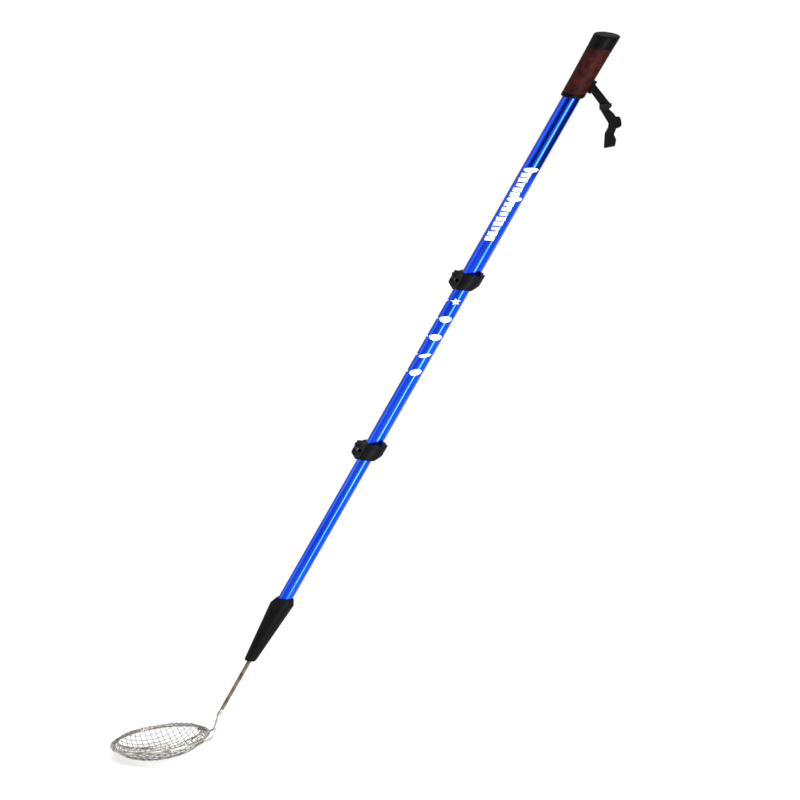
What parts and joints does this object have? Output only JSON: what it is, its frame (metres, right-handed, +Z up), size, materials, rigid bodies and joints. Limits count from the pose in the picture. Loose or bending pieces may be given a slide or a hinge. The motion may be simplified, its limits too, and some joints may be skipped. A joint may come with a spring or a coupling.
{
  "type": "telescoping mesh scoop",
  "caption": "Round wire-mesh scoop basket on a telescoping blue aluminium pole with cam-lever clamps, a brown grip and a wrist strap.",
  "frame": {"origin": "centre of the hand grip, on the pole's axis", "axes": "+Z up; the pole leans from +Z towards +X in the XZ plane; Y is across the tool"},
  "size_m": [0.738, 0.1468, 1.0732],
  "materials": {
    "blue_tube": "bright blue anodised, polished",
    "black_plastic": "black moulded plastic, fine texture",
    "brown_sleeve": "mottled dark brown imitation cork",
    "zinc_fasteners": "zinc plated",
    "steel_wire": "bright steel wire",
    "webbing": "woven black webbing",
    "nylon": "grey nylon"
  },
  "bodies": {
    "handle": {"grip_core": "black_plastic", "grip_sleeve": "brown_sleeve", "grip_cap": "black_plastic", "grip_collar": "black_plastic", "strap_bracket": "black_plastic", "strap_pin": "zinc_fasteners", "upper_tube": "blue_tube", "upper_clamp_collar": "black_plastic", "upper_clamp_barrel": "zinc_fasteners", "upper_clamp_bolt": "zinc_fasteners", "upper_clamp_nut": "zinc_fasteners"},
    "upper_lever": {"upper_clamp_lever": "black_plastic"},
    "middle": {"middle_tube": "blue_tube", "middle_guide_bush": "nylon", "lower_clamp_collar": "black_plastic", "lower_clamp_barrel": "zinc_fasteners", "lower_clamp_bolt": "zinc_fasteners", "lower_clamp_nut": "zinc_fasteners"},
    "lower_lever": {"lower_clamp_lever": "black_plastic"},
    "lower": {"lower_tube": "blue_tube", "lower_guide_bush": "nylon", "ferrule": "black_plastic", "rod_insert": "zinc_fasteners", "rod_cross_pin": "zinc_fasteners", "basket_rod": "steel_wire", "fork_arm_front": "steel_wire", "fork_arm_back": "steel_wire", "rim_ring": "steel_wire", "top_ring": "steel_wire", "basket_mesh": "steel_wire"},
    "strap": {"strap_root": "webbing", "strap_web": "webbing", "strap_slider": "black_plastic", "strap_front_ply": "webbing", "strap_back_ply": "webbing", "strap_tail": "webbing"}
  },
  "joints": [
    {"name": "middle_slide", "type": "slide", "parent": "handle", "child": "middle", "axis": [0.4854, 0, 0.8743], "range_m": [0, 0.24]},
    {"name": "lower_slide", "type": "slide", "parent": "middle", "child": "lower", "axis": [0.4854, 0, 0.8743], "range_m": [0, 0.215]},
    {"name": "upper_lever_hinge", "type": "hinge", "parent": "handle", "child": "upper_lever", "pos_m": [-0.19572, -0.0145, -0.31337], "axis": [-0.4854, 0, -0.8743], "range_deg": [0, 110]},
    {"name": "lower_lever_hinge", "type": "hinge", "parent": "middle", "child": "lower_lever", "pos_m": [-0.33553, -0.0145, -0.56517], "axis": [-0.4854, 0, -0.8743], "range_deg": [0, 110]},
    {"name": "strap_swing", "type": "hinge", "parent": "handle", "child": "strap", "pos_m": [0.00347, 0, -0.03166], "axis": [0.4854, 0, 0.8743], "range_deg": [-75, 75]}
  ]
}
